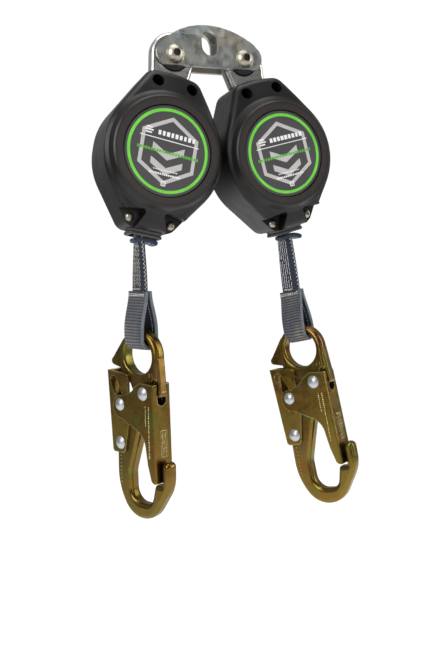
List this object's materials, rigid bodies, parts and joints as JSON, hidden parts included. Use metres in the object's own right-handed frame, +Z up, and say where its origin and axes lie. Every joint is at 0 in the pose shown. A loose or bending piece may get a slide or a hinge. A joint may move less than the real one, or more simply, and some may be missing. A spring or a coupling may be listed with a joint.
{
  "type": "self retracting lifeline",
  "caption": "Twin self retracting lifeline: web-wound housings on swivel eyes under one connector bracket, each with a short web leader and a double-locking snap hook.",
  "frame": {"origin": "centre of the bracket's connector slot, midway between the two bracket plates", "axes": "+Z up, labels face -Y, +X to the right when the labels are read"},
  "size_m": [0.179, 0.0771, 0.3659],
  "materials": {
    "zinc_plate": "zinc plated, slightly blued and stained",
    "stainless": "bright stainless",
    "black_nylon": "black nylon",
    "polished_steel": "polished and plated forging",
    "black_shell": "fine-grained black plastic",
    "label_print": "printed label with a green ring",
    "frame_steel": "plain zinc steel",
    "bronze": "sintered bronze",
    "spring_steel": "blued spring steel",
    "cast_alloy": "die cast",
    "navy_web": "navy webbing with pale stitching",
    "grey_web": "ribbed grey webbing with navy edges",
    "yellow_zinc_forging": "yellow zinc, iridescent",
    "yellow_zinc_sheet": "yellow zinc, iridescent",
    "bright_rivet": "bright zinc rivet"
  },
  "bodies": {
    "bracket": {"bracket_front_plate": "zinc_plate", "bracket_rear_plate": "zinc_plate", "bracket_bolts": "stainless", "bracket_nuts": "stainless", "eye_bushings": "black_nylon"},
    "eye_left": {"swivel_eye_left": "polished_steel", "swivel_nut_left": "stainless"},
    "housing_left": {"front_shell_left": "black_shell", "rear_shell_left": "black_shell", "label_disc_left": "label_print", "shell_screws_left": "stainless", "web_nozzle_left": "black_nylon", "inner_frame_left": "frame_steel", "shaft_bushes_left": "bronze", "guide_pins_left": "stainless", "ratchet_ring_left": "frame_steel", "spring_case_left": "black_nylon", "power_spring_left": "spring_steel"},
    "drum_left": {"drum_shaft_left": "stainless", "web_drum_left": "cast_alloy", "web_coil_left": "navy_web"},
    "pawl_upper_left": {"pawl_upper_left": "frame_steel"},
    "pawl_lower_left": {"pawl_lower_left": "frame_steel"},
    "line_left": {"web_leader_left": "navy_web", "web_stop_left": "navy_web"},
    "loop_left": {"web_loop_left": "grey_web"},
    "hook_left": {"hook_body_left": "yellow_zinc_forging", "hook_rivets_left": "bright_rivet"},
    "gate_left": {"hook_gate_left": "yellow_zinc_sheet", "lobe_rivet_left": "bright_rivet", "gate_spring_left": "spring_steel"},
    "lever_left": {"lock_lever_left": "yellow_zinc_sheet"},
    "eye_right": {"swivel_eye_right": "polished_steel", "swivel_nut_right": "stainless"},
    "housing_right": {"front_shell_right": "black_shell", "rear_shell_right": "black_shell", "label_disc_right": "label_print", "shell_screws_right": "stainless", "web_nozzle_right": "black_nylon", "inner_frame_right": "frame_steel", "shaft_bushes_right": "bronze", "guide_pins_right": "stainless", "ratchet_ring_right": "frame_steel", "spring_case_right": "black_nylon", "power_spring_right": "spring_steel"},
    "drum_right": {"drum_shaft_right": "stainless", "web_drum_right": "cast_alloy", "web_coil_right": "navy_web"},
    "pawl_upper_right": {"pawl_upper_right": "frame_steel"},
    "pawl_lower_right": {"pawl_lower_right": "frame_steel"},
    "line_right": {"web_leader_right": "navy_web", "web_stop_right": "navy_web"},
    "loop_right": {"web_loop_right": "grey_web"},
    "hook_right": {"hook_body_right": "yellow_zinc_forging", "hook_rivets_right": "bright_rivet"},
    "gate_right": {"hook_gate_right": "yellow_zinc_sheet", "lobe_rivet_right": "bright_rivet", "gate_spring_right": "spring_steel"},
    "lever_right": {"lock_lever_right": "yellow_zinc_sheet"}
  },
  "joints": [
    {"name": "eye_swing_left", "type": "hinge", "parent": "bracket", "child": "eye_left", "pos_m": [-0.0274, 0, -0.0096], "axis": [0, 1, 0], "range_deg": [0, 75]},
    {"name": "housing_swivel_left", "type": "hinge", "parent": "eye_left", "child": "housing_left", "pos_m": [-0.0274, 0, -0.0096], "axis": [0.2317, 0, 0.9728], "range_deg": [-8, 6]},
    {"name": "web_pull_left", "type": "slide", "parent": "housing_left", "child": "line_left", "axis": [-0.0454, 0, -0.999], "range_m": [0, 1.8], "stiffness_N_per_m": 2, "springref_m": -6},
    {"name": "drum_spin_left", "type": "hinge", "parent": "housing_left", "child": "drum_left", "pos_m": [-0.04492, 0, -0.08314], "axis": [0, 1, 0], "range_deg": [0, 4536]},
    {"name": "pawl_upper_swing_left", "type": "hinge", "parent": "drum_left", "child": "pawl_upper_left", "pos_m": [-0.03971, 0, -0.06125], "axis": [0, -1, 0], "range_deg": [0, 16], "stiffness_Nm_per_rad": 0.004, "springref_deg": -20.05},
    {"name": "pawl_lower_swing_left", "type": "hinge", "parent": "drum_left", "child": "pawl_lower_left", "pos_m": [-0.05013, 0, -0.10503], "axis": [0, -1, 0], "range_deg": [0, 16], "stiffness_Nm_per_rad": 0.004, "springref_deg": -20.05},
    {"name": "loop_flex_left", "type": "hinge", "parent": "line_left", "child": "loop_left", "pos_m": [-0.06263, 0, -0.17873], "axis": [0.4688, -0.8817, -0.0541], "range_deg": [-45, 45]},
    {"name": "hook_tilt_left", "type": "hinge", "parent": "loop_left", "child": "hook_left", "pos_m": [-0.0638, 0.0022, -0.22467], "axis": [0.8829, 0.4695, 0], "range_deg": [-20, 25]},
    {"name": "gate_open_left", "type": "hinge", "parent": "hook_left", "child": "gate_left", "pos_m": [-0.06044, -0.00413, -0.25149], "axis": [0.8829, 0.4695, 0], "range_deg": [0, 22], "stiffness_Nm_per_rad": 0.15, "springref_deg": -20.05},
    {"name": "lever_press_left", "type": "hinge", "parent": "hook_left", "child": "lever_left", "pos_m": [-0.07416, 0.02169, -0.29017], "axis": [0.8829, 0.4695, 0], "range_deg": [0, 4.1]},
    {"name": "eye_swing_right", "type": "hinge", "parent": "bracket", "child": "eye_right", "pos_m": [0.0274, 0, -0.0096], "axis": [0, -1, 0], "range_deg": [0, 75]},
    {"name": "housing_swivel_right", "type": "hinge", "parent": "eye_right", "child": "housing_right", "pos_m": [0.0274, 0, -0.0096], "axis": [-0.2317, 0, 0.9728], "range_deg": [-6, 8]},
    {"name": "web_pull_right", "type": "slide", "parent": "housing_right", "child": "line_right", "axis": [0.0889, 0, -0.996], "range_m": [0, 1.8], "stiffness_N_per_m": 2, "springref_m": -6},
    {"name": "drum_spin_right", "type": "hinge", "parent": "housing_right", "child": "drum_right", "pos_m": [0.04492, 0, -0.08314], "axis": [0, 1, 0], "range_deg": [0, 4536]},
    {"name": "pawl_upper_swing_right", "type": "hinge", "parent": "drum_right", "child": "pawl_upper_right", "pos_m": [0.03971, 0, -0.06125], "axis": [0, -1, 0], "range_deg": [0, 16], "stiffness_Nm_per_rad": 0.004, "springref_deg": -20.05},
    {"name": "pawl_lower_swing_right", "type": "hinge", "parent": "drum_right", "child": "pawl_lower_right", "pos_m": [0.05013, 0, -0.10503], "axis": [0, -1, 0], "range_deg": [0, 16], "stiffness_Nm_per_rad": 0.004, "springref_deg": -20.05},
    {"name": "loop_flex_right", "type": "hinge", "parent": "line_right", "child": "loop_right", "pos_m": [0.06166, 0, -0.18561], "axis": [0.5083, -0.8459, 0.1616], "range_deg": [-45, 45]},
    {"name": "hook_tilt_right", "type": "hinge", "parent": "loop_right", "child": "hook_right", "pos_m": [0.06549, -0.00637, -0.23101], "axis": [0.8572, 0.515, 0], "range_deg": [-20, 25]},
    {"name": "gate_open_right", "type": "hinge", "parent": "hook_right", "child": "gate_right", "pos_m": [0.07206, -0.0173, -0.25567], "axis": [0.8572, 0.515, 0], "range_deg": [0, 22], "stiffness_Nm_per_rad": 0.15, "springref_deg": -20.05},
    {"name": "lever_press_right", "type": "hinge", "parent": "hook_right", "child": "lever_right", "pos_m": [0.06163, 0.00005, -0.29972], "axis": [0.8572, 0.515, 0], "range_deg": [0, 4.1]}
  ],
  "couplings": [
    {"joint": "drum_spin_left", "follows": "web_pull_left", "rad_per_m": 43.982},
    {"joint": "lever_press_left", "follows": "gate_open_left", "ratio": 0.184},
    {"joint": "drum_spin_right", "follows": "web_pull_right", "rad_per_m": 43.982},
    {"joint": "lever_press_right", "follows": "gate_open_right", "ratio": 0.184}
  ]
}
